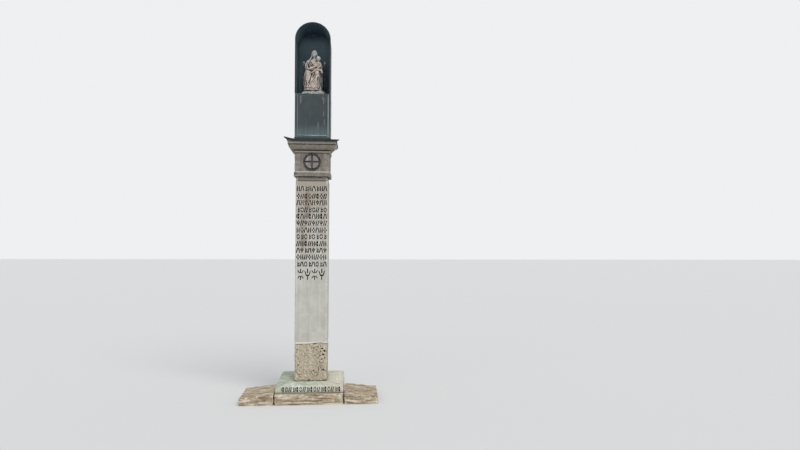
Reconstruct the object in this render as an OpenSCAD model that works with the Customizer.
// Wayside pillar shrine: a stone shaft on a low stepped base, a moulded capital
// with a wheel-cross medallion, and a sheet-metal tabernacle with an arched niche
// that holds a carved mother and child. The front faces -Y, +Z is up, and the
// origin is the middle of the underside.

/* [Foundation] */
// height of the low step of three stones
step_h = 102; // [70:1:130]
// width of the middle stone of the step
slab_w = 664; // [662:1:760]
// depth of the middle stone of the step
slab_d = 782; // [700:1:860]
// width of each outer stone of the step
block_w = 335; // [200:1:420]
// depth of each outer stone of the step, back from the front edge
block_d = 457; // [300:1:600]
// how far each outer stone has sunk at its outer end
block_fall = 30; // [5:1:45]
// arris taken off the step's top edges
step_arris = 6; // [2:1:12]

/* [Plinth] */
// side of the square plinth block
plinth_w = 655; // [560:1:660]
// height of the plinth block with its bevel
plinth_h = 75; // [60:1:140]
// width of the plinth's bevel in plan
bevel_run = 30; // [10:1:60]
// height of the plinth's bevel
bevel_rise = 9; // [6:1:40]

/* [Shaft] */
// side of the square shaft
shaft_w = 325; // [275:1:345]
// width of the chamfers on the shaft's four arrises
shaft_arris = 15; // [4:1:30]
// height of the separate stone at the shaft's foot
foot_h = 365; // [240:1:480]
// height of the upper stone of the shaft, with its necking
shaft_h = 1667; // [1200:1:2100]
// height of the hollow necking at the top of the shaft
neck_h = 37; // [25:1:60]
// how far the necking is cut in
neck_in = 8; // [3:1:15]
// thickness of the mortar bed under the capital
mortar_t = 7; // [3:1:12]

/* [Capital] */
// width of the band under the die
band_w = 368; // [350:1:380]
// height of that band
band_h = 50; // [24:1:70]
// width of the die that carries the medallion
die_w = 349; // [300:1:355]
// height of the die between band and top fillet
die_h = 181; // [178:1:260]
// width of the small fillet over the die
fillet_w = 369; // [356:1:380]
// height of that fillet
fillet_h = 24; // [14:1:36]
// radius of the quarter-round under the abacus
ovolo_r = 49; // [30:1:56]
// width of the abacus
abacus_w = 485; // [478:1:520]
// height of the abacus face
abacus_h = 50; // [36:1:70]

/* [Medallion] */
// radius of the wreath's outer edge
wreath_r = 86; // [60:1:88]
// width of the wreath
wreath_w = 16; // [10:1:24]
// how far the wreath stands out of the die
wreath_out = 11; // [6:1:18]
// width of the cross cut into the disc
cross_w = 10; // [5:1:18]

/* [Flashing] */
// overall width of the metal sheet over the capital
flash_w = 542; // [536:1:580]
// depth of its turned-down edge
drip_h = 22; // [12:1:30]
// rise of the sheet from its edge to the tabernacle
flash_rise = 12; // [6:1:30]

/* [Tabernacle] */
// width of the closed lower box
box_w = 352; // [296:1:380]
// depth of the closed lower box
box_d = 340; // [320:1:380]
// height of the closed lower box
box_h = 454; // [320:1:560]
// thickness of the sheet metal
sheet = 3; // [2:0.5:5]
// width of the folded strips at the box's corners
strip_w = 30; // [16:1:50]
// how far the hood stands in from the box at each side
hood_in = 1; // [0:0.5:6]
// height of the hood's straight sides
side_h = 551; // [520:1:650]
// width of the rolled rim round the opening
rim_w = 10; // [6:1:14]

/* [Statue] */
// height of the carved mother and child
statue_h = 487; // [420:1:500]

/* [Hidden] */
$fn = 64;
eps = 0.01;
seat = 0.3;

tan_stone = [0.80, 0.72, 0.60];
pale_stone = [0.78, 0.80, 0.74];
shaft_stone = [0.76, 0.75, 0.71];
foot_stone = [0.71, 0.66, 0.56];
cap_stone = [0.58, 0.54, 0.49];
dark_metal = [0.20, 0.24, 0.26];
slate_metal = [0.30, 0.34, 0.36];
carved_stone = [0.74, 0.68, 0.62];

plinth_z = step_h;
foot_z = plinth_z + plinth_h;
joint_z = foot_z + foot_h;
neck_z = joint_z + shaft_h - neck_h;
mortar_z = joint_z + shaft_h;
band_z = mortar_z + mortar_t;
die_z = band_z + band_h;
fillet_z = die_z + die_h;
ovolo_z = fillet_z + fillet_h;
abacus_z = ovolo_z + ovolo_r + 5;
abacus_top = abacus_z + abacus_h;
weather_rise = flash_rise * (abacus_w - box_w) / (flash_w - box_w - 2 * sheet);
bed_z = abacus_top + weather_rise;
box_z = bed_z + sheet;
floor_t = 6;
floor_z = box_z + box_h;
niche_z = floor_z + floor_t;
spring_z = niche_z + side_h;
hood_w = box_w - 2 * hood_in;
arch_r = hood_w / 2;
wall_t = sheet + 1;
rim_d = 9;
medal_z = die_z + die_h - wreath_r - 0.5;
disc_r = wreath_r - wreath_w;
wall_front = -box_d / 2 + wall_t;
rim_front = wall_front - rim_d;

// a square moulding with mitred corners from one side profile, drawn as x and z
module mitred(width) {
  intersection() {
    rotate([90, 0, 0])
      linear_extrude(width, center = true) children();
    rotate([90, 0, 90])
      linear_extrude(width, center = true) children();
  }
}

// the outline of a stone block with its top arrises taken off
module arrised(w, h, arris) {
  polygon([[-w / 2, 0], [w / 2, 0], [w / 2, h - arris],
           [w / 2 - arris, h], [-w / 2 + arris, h], [-w / 2, h - arris]]);
}

// a stone block of the step, standing on z = 0
module step_stone(w, d, h) {
  intersection() {
    rotate([90, 0, 0])
      linear_extrude(d, center = true) arrised(w, h, step_arris);
    rotate([90, 0, 90])
      linear_extrude(w, center = true) arrised(d, h, step_arris);
  }
}

// a flake broken out of an edge, to be cut away
module chip(at, turn, size) {
  translate(at)
    rotate(turn) cube(size, center = true);
}

module foundation_slab() {
  color(tan_stone)
    difference() {
      step_stone(slab_w, slab_d, step_h);
      chip([-slab_w * 0.21, -slab_d / 2, step_h], [38, 6, 5], [92, 22, 18]);
      chip([slab_w * 0.13, -slab_d / 2, step_h], [48, -4, -3], [64, 18, 14]);
      chip([slab_w * 0.37, -slab_d / 2, step_h], [44, 7, 4], [58, 20, 20]);
    }
}

// an outer stone of the step, sunk at its outer end, with a level underside
module foundation_block(side) {
  tilt = atan(block_fall / block_w);
  run = block_w / cos(tilt);
  thick = step_h + 60;
  color(tan_stone)
    translate([side * slab_w / 2, (block_d - slab_d) / 2, 0])
      intersection() {
        translate([0, 0, step_h])
          rotate([0, side * tilt, 0])
            translate([side * run / 2, 0, -thick])
              difference() {
                step_stone(run, block_d, thick);
                chip([side * run / 2, -block_d / 2, thick - 6], [40, 30, side * 45], [60, 34, 30]);
                chip([-side * run * 0.2, -block_d / 2, thick], [46, 5, -4], [80, 16, 16]);
                chip([side * run / 2, block_d * 0.06, thick], [5, 46, 6], [18, 90, 18]);
              }
        translate([side > 0 ? 0 : -block_w - 20, -block_d, 0])
          cube([block_w + 20, 2 * block_d, step_h + 20]);
      }
}

module foundation_block_left() {
  foundation_block(-1);
}

module foundation_block_right() {
  foundation_block(1);
}

module plinth_outline() {
  half = plinth_w / 2;
  polygon([[-half, 0], [half, 0], [half, plinth_h - bevel_rise],
           [half - bevel_run, plinth_h], [bevel_run - half, plinth_h],
           [-half, plinth_h - bevel_rise]]);
}

module plinth_block() {
  half = plinth_w / 2;
  color(pale_stone)
    translate([0, 0, plinth_z])
      difference() {
        mitred(plinth_w) plinth_outline();
        chip([half - 16, -half + 6, plinth_h - 6], [30, 25, 40], [40, 26, 22]);
        chip([-half, -half, plinth_h * 0.4], [6, 4, 45], [16, 14, 44]);
        chip([half * 0.42, -half, plinth_h - bevel_rise], [50, 3, -2], [46, 10, 10]);
      }
}

// the shaft's square with its four arrises chamfered
module shaft_plan(w) {
  half = w / 2;
  cut = half - shaft_arris;
  polygon([[-cut, -half], [cut, -half], [half, -cut], [half, cut],
           [cut, half], [-cut, half], [-half, cut], [-half, -cut]]);
}

// the uneven line where the two stones of the shaft meet, as x and rise
joint_line = [[-0.5, -1], [-0.36, 0], [-0.14, 1], [0.02, 4], [0.14, 9],
              [0.3, 13], [0.42, 8], [0.5, 5]];

// everything below that line, or above it
module joint_side(below) {
  far = below ? -foot_h - 50 : shaft_h + 50;
  edge = [for (p = joint_line) [p[0] * (shaft_w + 2), p[1]]];
  translate([0, 0, joint_z])
    rotate([90, 0, 0])
      linear_extrude(shaft_w + 20, center = true)
        polygon(concat(edge, [[shaft_w / 2 + 1, far], [-shaft_w / 2 - 1, far]]));
}

module shaft_foot_stone() {
  color(foot_stone)
    difference() {
      intersection() {
        translate([0, 0, foot_z])
          linear_extrude(foot_h + 40) shaft_plan(shaft_w);
        joint_side(true);
      }
      chip([shaft_w * 0.36, -shaft_w / 2, foot_z + foot_h * 0.84], [20, 30, 10], [16, 14, 9]);
      chip([shaft_w * 0.27, -shaft_w / 2, foot_z + foot_h * 0.9], [35, 15, 4], [12, 10, 8]);
      chip([shaft_w * 0.4, -shaft_w / 2, foot_z + foot_h * 0.7], [25, 50, 20], [12, 12, 10]);
      chip([-shaft_w / 2, -shaft_w / 2, foot_z + 30], [10, 8, 45], [22, 14, 62]);
    }
}

// side profile of the shaft's top: a shallow hollow under a square edge
module neck_outline() {
  half = shaft_w / 2;
  lip = 8;
  difference() {
    translate([-half, 0])
      square([shaft_w, neck_h]);
    for (side = [-1, 1])
      intersection() {
        translate([side * (half + neck_h - lip - neck_in), 0])
          circle(r = neck_h - lip);
        translate([side * half - neck_h / 2, -eps])
          square([neck_h, neck_h]);
      }
  }
}

module shaft_monolith() {
  color(shaft_stone)
    difference() {
      union() {
        intersection() {
          translate([0, 0, joint_z - 20])
            linear_extrude(shaft_h - neck_h + 20) shaft_plan(shaft_w);
          joint_side(false);
        }
        translate([0, 0, neck_z])
          mitred(shaft_w) neck_outline();
      }
      chip([-shaft_w / 2, -shaft_w / 2, neck_z - 310], [4, 6, 45], [12, 10, 70]);
    }
}

module neck_mortar_bed() {
  color(foot_stone)
    translate([0, 0, mortar_z])
      linear_extrude(mortar_t) square(shaft_w - 14, center = true);
}

// side profile of the capital's die: band, hollow, die and top fillet
module die_outline() {
  band = band_w / 2;
  die = die_w / 2;
  step = (fillet_w - die_w) / 2;
  union() {
    translate([-band, 0])
      square([band_w, band_h - 5]);
    translate([-die, 0])
      square([die_w, band_h + die_h + fillet_h]);
    polygon([[-band, band_h - 5 - eps], [band, band_h - 5 - eps],
             [die, band_h], [-die, band_h]]);
    difference() {
      translate([-fillet_w / 2, band_h + die_h])
        square([fillet_w, fillet_h]);
      for (side = [-1, 1])
        translate([side * fillet_w / 2, band_h + die_h])
          circle(r = step);
    }
  }
}

module capital_die() {
  color(cap_stone)
    translate([0, 0, band_z])
      mitred(band_w + 20) die_outline();
}

// the disc behind the wreath, quartered by a cross, each quarter with a lobed boss
module medallion_disc() {
  color(cap_stone)
    translate([0, -die_w / 2 + seat, medal_z])
      rotate([90, 0, 0])
        difference() {
          union() {
            cylinder(r = disc_r + 1, h = 5 + seat);
            for (turn = [45 : 90 : 315])
              rotate([0, 0, turn])
                translate([disc_r * 0.52, 0, 2]) {
                  cylinder(r = disc_r * 0.2, h = 6.5);
                  for (petal = [0 : 90 : 270])
                    rotate([0, 0, petal])
                      translate([disc_r * 0.2, 0, 0])
                        cylinder(r = disc_r * 0.11, h = 5.5);
                }
          }
          for (turn = [0, 90])
            rotate([0, 0, turn])
              translate([-disc_r - 2, -cross_w / 2, 1.2])
                cube([2 * disc_r + 4, cross_w, 20]);
        }
}

// the wreath: a rounded ring bound by eight ribs, with leaves along it
module medallion_wreath() {
  mid_r = wreath_r - wreath_w / 2;
  color(cap_stone)
    translate([0, -die_w / 2 + seat, medal_z])
      rotate([90, 0, 0]) {
        difference() {
          rotate_extrude()
            translate([mid_r, 0])
              intersection() {
                translate([0, wreath_out - wreath_w / 2])
                  circle(d = wreath_w);
                translate([-wreath_w / 2, 0])
                  square([wreath_w, wreath_out + 1]);
              }
          translate([0, 0, -eps])
            cylinder(r = disc_r + 1, h = 5 + seat + 2 * eps);
        }
        for (turn = [22.5 : 45 : 337.5])
          rotate([0, 0, turn])
            translate([mid_r, 0, 0])
              rotate([90, 0, 0])
                linear_extrude(7, center = true)
                  intersection() {
                    translate([0, wreath_out - wreath_w / 2])
                      circle(d = wreath_w + 2.4);
                    translate([1 - wreath_w / 2, 5 + seat])
                      square([wreath_w, wreath_out]);
                  }
      }
}

// side profile of the cornice: quarter-round, abacus face and weathered top
module cornice_outline() {
  foot = abacus_w / 2 - ovolo_r - 7;
  edge = abacus_w / 2;
  union() {
    translate([-foot, 0])
      square([2 * foot, ovolo_r + 5]);
    for (side = [-1, 1])
      intersection() {
        translate([side * foot, ovolo_r + 5])
          circle(r = ovolo_r);
        translate([side > 0 ? foot : -foot - ovolo_r, 5])
          square([ovolo_r, ovolo_r + eps]);
      }
    translate([-edge, ovolo_r + 5])
      square([abacus_w, abacus_h]);
    polygon([[-edge, ovolo_r + 4 + abacus_h], [edge, ovolo_r + 4 + abacus_h],
             [edge, ovolo_r + 5 + abacus_h],
             [box_w / 2, ovolo_r + 5 + abacus_h + weather_rise],
             [-box_w / 2, ovolo_r + 5 + abacus_h + weather_rise],
             [-edge, ovolo_r + 5 + abacus_h]]);
  }
}

module cornice_stone() {
  edge = abacus_w / 2;
  color(cap_stone)
    translate([0, 0, ovolo_z])
      difference() {
        mitred(abacus_w + 10) cornice_outline();
        chip([-edge + 2, -edge + 2, ovolo_r - 6], [12, -38, 45], [46, 90, 22]);
        chip([edge - 2, -edge - 2, ovolo_r + 24], [0, 0, 45], [9, 60, 70]);
        chip([-edge * 0.28, -edge, ovolo_r + 6], [46, 4, 0], [70, 7, 7]);
      }
}

// half-width and height of the sheet's outer or inner face
function flash_face(inset) = let (
    edge = flash_w / 2 - inset,
    low = abacus_top - flash_rise + weather_rise + sheet - inset,
    high = bed_z + sheet - inset)
  [[-edge, low - drip_h], [edge, low - drip_h], [edge, low],
   [box_w / 2, high], [-box_w / 2, high], [-edge, low]];

// a sheet bent down over the capital with a drip edge all round
module capital_flashing() {
  color(dark_metal)
    difference() {
      mitred(flash_w + 10) polygon(flash_face(0));
      mitred(flash_w + 10)
        polygon([for (p = flash_face(sheet)) [p[0], p[1] < abacus_top - 9 ? p[1] - 9 : p[1]]]);
    }
}

// a flat sheet of the lower box, centred on x and standing at y
module box_panel(w, h, t) {
  translate([-w / 2, 0, 0])
    cube([w, t, h]);
}

module box_front_panel() {
  panel_w = box_w - 2 * sheet;
  field_w = box_w - 2 * strip_w;
  color(slate_metal)
    translate([0, -box_d / 2 + sheet, box_z])
      union() {
        box_panel(panel_w, box_h, sheet);
        translate([0, 0, box_h * 0.075])
          rotate([0, 90, 0])
            cylinder(d = 5, h = field_w, center = true);
      }
}

module box_back_panel() {
  color(slate_metal)
    translate([0, box_d / 2 - 2 * sheet, box_z])
      box_panel(box_w - 2 * sheet, box_h, sheet);
}

module box_side_panel(side) {
  len = box_d - 4 * sheet;
  color(slate_metal)
    translate([side > 0 ? box_w / 2 - 2 * sheet : sheet - box_w / 2, -len / 2, box_z])
      cube([sheet, len, box_h]);
}

module box_left_panel() {
  box_side_panel(-1);
}

module box_right_panel() {
  box_side_panel(1);
}

// a strip folded round one upright corner of the box
module corner_strip(side, end) {
  color(slate_metal)
    translate([side * box_w / 2, end * box_d / 2, box_z])
      mirror([side > 0 ? 1 : 0, 0, 0])
        mirror([0, end > 0 ? 1 : 0, 0])
          linear_extrude(box_h)
            difference() {
              square([strip_w, strip_w]);
              translate([sheet, sheet])
                square([strip_w, strip_w]);
            }
}

module corner_strip_front_left() {
  corner_strip(-1, -1);
}

module corner_strip_front_right() {
  corner_strip(1, -1);
}

module corner_strip_back_left() {
  corner_strip(-1, 1);
}

module corner_strip_back_right() {
  corner_strip(1, 1);
}

// a low sheet skirt round the foot of the box, its top edge sloped off
module box_skirt() {
  skirt_h = 21;
  w = box_w + 2 * sheet;
  d = box_d + 2 * sheet;
  color(dark_metal)
    translate([0, 0, box_z])
      difference() {
        intersection() {
          rotate([90, 0, 0])
            linear_extrude(d, center = true) arrised(w, skirt_h, sheet - 1);
          rotate([90, 0, 90])
            linear_extrude(w, center = true) arrised(d, skirt_h, sheet - 1);
        }
        translate([-box_w / 2, -box_d / 2, -1])
          cube([box_w, box_d, skirt_h + 2]);
      }
}

// the floor of the niche, with a rounded front edge
module niche_floor() {
  nose = floor_t / 2;
  color(slate_metal)
    translate([0, 0, floor_z])
      union() {
        translate([-box_w / 2, rim_front + nose, 0])
          cube([box_w, box_d / 2 - rim_front - nose, floor_t]);
        translate([0, rim_front + nose, nose])
          rotate([0, 90, 0])
            cylinder(r = nose, h = box_w, center = true);
      }
}

module hood_wall(side) {
  color(slate_metal)
    translate([side > 0 ? arch_r - wall_t : -arch_r, wall_front, niche_z])
      cube([wall_t, box_d - 2 * wall_t, side_h]);
}

module hood_left_wall() {
  hood_wall(-1);
}

module hood_right_wall() {
  hood_wall(1);
}

module hood_back_wall() {
  color(slate_metal)
    translate([0, box_d / 2, niche_z])
      rotate([90, 0, 0])
        linear_extrude(wall_t)
          union() {
            translate([-arch_r, 0])
              square([hood_w, side_h]);
            intersection() {
              translate([0, side_h])
                circle(r = arch_r);
              translate([-arch_r, side_h - eps])
                square([hood_w, arch_r + 1]);
            }
          }
}

// the round vault over the niche
module hood_vault() {
  len = box_d - 2 * wall_t;
  color(slate_metal)
    translate([0, -wall_front, spring_z])
      rotate([90, 0, 0])
        linear_extrude(len)
          intersection() {
            difference() {
              circle(r = arch_r);
              circle(r = arch_r - wall_t);
            }
            translate([-arch_r - 1, 0])
              square([hood_w + 2, arch_r + 2]);
          }
}

// cross-section of the rolled rim: flat on y = 0, round at the far side
module rim_section() {
  round_y = rim_d - rim_w / 2;
  intersection() {
    union() {
      translate([0, round_y])
        circle(d = rim_w);
      translate([-rim_w / 2, 0])
        square([rim_w, round_y]);
    }
    translate([-rim_w / 2, 0])
      square([rim_w, rim_d]);
  }
}

module hood_rim_side(side) {
  color(dark_metal)
    translate([side * (arch_r - rim_w / 2), wall_front, niche_z])
      mirror([0, 1, 0])
        linear_extrude(side_h) rim_section();
}

module hood_rim_left() {
  hood_rim_side(-1);
}

module hood_rim_right() {
  hood_rim_side(1);
}

module hood_rim_arch() {
  color(dark_metal)
    translate([0, wall_front, spring_z])
      rotate([90, 0, 0])
        rotate_extrude(angle = 180)
          translate([arch_r - rim_w / 2, 0])
            rim_section();
}

// a limb between two balls
module limb(a, ra, b, rb) {
  hull() {
    translate(a) sphere(r = ra);
    translate(b) sphere(r = rb);
  }
}

// a mass drawn round a list of balls, each as x, y, z and radius
module mass(balls) {
  hull()
    for (b = balls)
      translate([b[0], b[1], b[2]]) sphere(r = b[3]);
}

// a run of cloth along a line of points, thinner at both ends
module fold(points, r) {
  last = len(points) - 1;
  for (i = [1 : last])
    limb(points[i - 1], i == 1 ? r * 0.55 : r, points[i], i == last ? r * 0.55 : r);
}

// the rough block that the figure is cut from, in four broken lumps
module rock_base() {
  mass([[-110, -92, 14, 14], [-40, -112, 13, 13], [-20, -60, 36, 16], [-112, 58, 14, 14],
        [-92, -50, 38, 16], [-30, 60, 14, 14], [-80, 50, 38, 14]]);
  mass([[-48, -114, 13, 13], [52, -112, 14, 14], [30, -88, 40, 16], [-44, -90, 38, 16],
        [-40, 62, 14, 14], [50, 62, 14, 14]]);
  mass([[46, -112, 12, 12], [112, -86, 14, 14], [88, -66, 42, 16], [50, -80, 40, 16],
        [116, 56, 14, 14], [40, 62, 14, 14], [84, 46, 40, 14]]);
  mass([[-70, -70, 48, 16], [10, -86, 50, 15], [66, -60, 50, 16], [60, 48, 44, 16],
        [-70, 48, 44, 16]]);
}

// a low seat with a back between two knobbed posts
module throne() {
  translate([-90, -10, 30])
    cube([184, 76, 168]);
  translate([-94, -14, 176])
    cube([192, 84, 14]);
  for (side = [-1, 1])
    translate([side > 0 ? 102 : -98, 58, 0]) {
      translate([0, 0, 30])
        cylinder(r = 9, h = 150);
      translate([0, 0, 178])
        cylinder(r1 = 9, r2 = 5, h = 150);
      translate([0, 0, 322])
        cylinder(r = 8, h = 5);
      translate([0, 0, 336])
        sphere(r = 11);
    }
  translate([0, 66, 190])
    rotate([90, 0, 0])
      linear_extrude(12)
        intersection() {
          translate([-98, 0])
            square([200, 110]);
          translate([2, 20])
            circle(r = 104);
        }
}

module mother_head() {
  // skull, jaw, nose, brow, lips and chin of a plain face
  mass([[7, 0, 450, 25], [9, -9, 436, 19], [10, -14, 420, 9]]);
  mass([[9, -27, 445, 3], [10, -32, 433, 3.5]]);
  fold([[-3, -25, 447], [9, -28, 448], [20, -22, 447]], 3.5);
  limb([5, -27, 424], 3, [15, -26, 424], 3);
  // hair swept back under the veil
  fold([[-14, -10, 432], [-10, -18, 456], [8, -24, 466], [26, -14, 458], [29, -4, 434]], 7);
  // neck
  limb([8, 0, 420], 14, [4, 4, 384], 18);
}

module veil() {
  mass([[7, 8, 456, 29], [6, 24, 420, 22], [4, 34, 370, 22]]);
  mass([[-10, 8, 456, 18], [-28, 14, 400, 14], [-46, 22, 352, 12], [-10, 34, 360, 16]]);
  mass([[24, 10, 456, 18], [38, 18, 400, 14], [54, 26, 350, 12], [16, 38, 356, 16]]);
  fold([[-18, -6, 462], [-27, -4, 424], [-36, -6, 392], [-32, -18, 352]], 8);
  fold([[32, -4, 462], [36, 0, 424], [42, 0, 396]], 8);
}

module torso() {
  mass([[-42, 8, 364, 23], [44, 10, 362, 23], [-18, -6, 352, 24], [22, -2, 352, 24],
        [-22, 8, 286, 32], [24, 8, 286, 32]]);
  mass([[-19, -16, 338, 21], [21, -14, 338, 21], [-14, -4, 300, 26], [16, -4, 300, 26]]);
  fold([[-44, -22, 322], [-14, -34, 296], [20, -32, 290]], 7);
  fold([[-36, -28, 340], [-10, -37, 318], [12, -35, 312]], 6);
  fold([[-22, -20, 372], [-2, -30, 352], [18, -20, 372]], 5);
  fold([[-46, -12, 290], [-20, -36, 276], [20, -36, 272], [50, -14, 276]], 9);
}

module arms() {
  limb([-50, 4, 362], 22, [-68, -8, 302], 20);
  mass([[-68, -10, 300, 20], [-52, -44, 284, 17], [-58, -30, 262, 16]]);
  limb([-50, -46, 284], 14, [-12, -78, 276], 9);
  mass([[-12, -78, 276, 9], [6, -86, 274, 7], [8, -84, 282, 5]]);
  for (finger = [0 : 3])
    limb([6, -86, 283 - 5 * finger], 3.4, [22, -88 - finger, 282 - 5 * finger], 2.8);
  limb([50, 8, 360], 22, [76, -2, 296], 19);
  mass([[76, -4, 294, 19], [66, -44, 276, 16], [78, -24, 256, 14]]);
  limb([66, -46, 276], 13, [74, -80, 258], 9);
  for (finger = [0 : 3])
    limb([74, -82, 262 - 5 * finger], 3.4, [60, -94, 260 - 5 * finger], 2.8);
  fold([[-70, 4, 340], [-84, -8, 308], [-74, -26, 286]], 6);
  fold([[-62, -14, 344], [-76, -24, 312], [-62, -38, 292]], 5);
}

module lap() {
  mass([[-34, 6, 252, 40], [34, 6, 252, 40], [-56, -64, 232, 27], [40, -68, 232, 27],
        [-30, 34, 226, 26], [32, 34, 226, 26]]);
  // the two shins under the robe
  mass([[-56, -66, 230, 27], [-50, -84, 150, 24], [-46, -88, 88, 22], [-74, -20, 90, 22],
        [-72, 0, 214, 22]]);
  mass([[40, -70, 230, 27], [42, -90, 150, 23], [44, -92, 86, 22], [70, -24, 84, 22],
        [66, 0, 214, 22]]);
  mass([[-12, -58, 220, 24], [-8, -80, 150, 22], [-8, -88, 86, 22], [-40, -40, 80, 20],
        [40, -40, 80, 20]]);
}

// cloth hanging between the knees, down the shins and round the hem
module robe_folds() {
  fold([[-44, -86, 236], [-22, -92, 202], [2, -94, 196], [24, -94, 214]], 9);
  fold([[-42, -94, 212], [-22, -98, 172], [0, -100, 162], [24, -98, 184]], 10);
  fold([[-50, -100, 186], [-28, -102, 140], [-4, -102, 128], [20, -102, 150]], 10);
  fold([[48, -94, 226], [30, -104, 172], [-2, -108, 128], [-40, -110, 92], [-76, -92, 70]], 14);
  fold([[40, -100, 196], [24, -110, 140], [-4, -114, 98], [-24, -116, 70]], 12);
  fold([[58, -88, 226], [62, -100, 160], [56, -106, 110], [58, -106, 72]], 10);
  fold([[44, -104, 180], [40, -112, 130], [30, -116, 90], [22, -118, 68]], 10);
  fold([[-66, -84, 224], [-74, -86, 170], [-70, -92, 120], [-80, -84, 74]], 9);
  fold([[-80, -54, 222], [-88, -50, 160], [-90, -46, 110], [-98, -40, 70]], 12);
  fold([[-78, -10, 232], [-96, 0, 180], [-96, 4, 130], [-102, 8, 74]], 13);
  fold([[74, -46, 222], [80, -50, 150], [76, -56, 100], [84, -54, 68]], 10);
  fold([[78, -6, 226], [92, 0, 170], [90, 0, 110], [98, 4, 66]], 12);
  fold([[-96, -30, 70], [-70, -88, 64], [-30, -114, 62], [20, -118, 62], [62, -104, 64],
        [86, -48, 62]], 13);
  // toes under the hem
  mass([[-30, -112, 60, 9], [-28, -124, 56, 6]]);
  mass([[50, -106, 60, 9], [52, -120, 56, 6]]);
}

module mother() {
  translate([7, 0, 440])
    rotate([4, 7, 0])
      translate([-7, 0, -440]) {
        mother_head($fn = 12);
        veil($fn = 12);
      }
  torso($fn = 12);
  arms($fn = 8);
  lap($fn = 12);
  translate([0, 6, 0])
    robe_folds($fn = 8);
}

module child() {
  mass([[49, -36, 398, 20], [49, -44, 392, 18], [50, -50, 382, 9]]);
  limb([50, -60, 392], 2.4, [50, -63, 386], 3);
  fold([[30, -36, 398], [36, -46, 412], [52, -50, 416], [66, -44, 408], [70, -34, 396]], 7);
  limb([50, -38, 384], 10, [52, -36, 364], 13);
  mass([[38, -36, 354, 14], [66, -34, 354, 14], [40, -44, 304, 20], [64, -42, 304, 20]]);
  limb([38, -42, 352], 10, [20, -56, 334], 8);
  limb([20, -56, 334], 8, [4, -44, 340], 6);
  limb([68, -40, 352], 10, [80, -58, 326], 8);
  limb([80, -58, 326], 8, [66, -74, 318], 6);
  limb([44, -54, 296], 16, [22, -84, 286], 12);
  limb([22, -84, 286], 12, [-6, -88, 262], 8);
  limb([62, -54, 294], 16, [66, -88, 278], 12);
  limb([66, -88, 278], 12, [86, -88, 244], 8);
  mass([[86, -88, 242, 7], [90, -98, 238, 5]]);
  mass([[-6, -88, 262, 7], [-14, -94, 260, 5]]);
  fold([[36, -58, 318], [56, -64, 312], [74, -54, 318]], 5);
  fold([[34, -62, 302], [54, -72, 296], [76, -60, 302]], 5);
}

module statue_group() {
  color(carved_stone)
    translate([0, 0, niche_z])
      scale(statue_h / 485)
        intersection() {
          union() {
            translate([0, 0, -2])
              rock_base($fn = 10);
            throne($fn = 16);
            mother();
            child($fn = 10);
          }
          translate([-130, -130, 0])
            cube([265, 210, 520]);
        }
}

foundation_slab();
foundation_block_left();
foundation_block_right();
plinth_block();
shaft_foot_stone();
shaft_monolith();
neck_mortar_bed();
capital_die();
medallion_disc();
medallion_wreath();
cornice_stone();
capital_flashing();
box_front_panel();
box_back_panel();
box_left_panel();
box_right_panel();
corner_strip_front_left();
corner_strip_front_right();
corner_strip_back_left();
corner_strip_back_right();
box_skirt();
niche_floor();
hood_left_wall();
hood_right_wall();
hood_back_wall();
hood_vault();
hood_rim_left();
hood_rim_right();
hood_rim_arch();
statue_group();
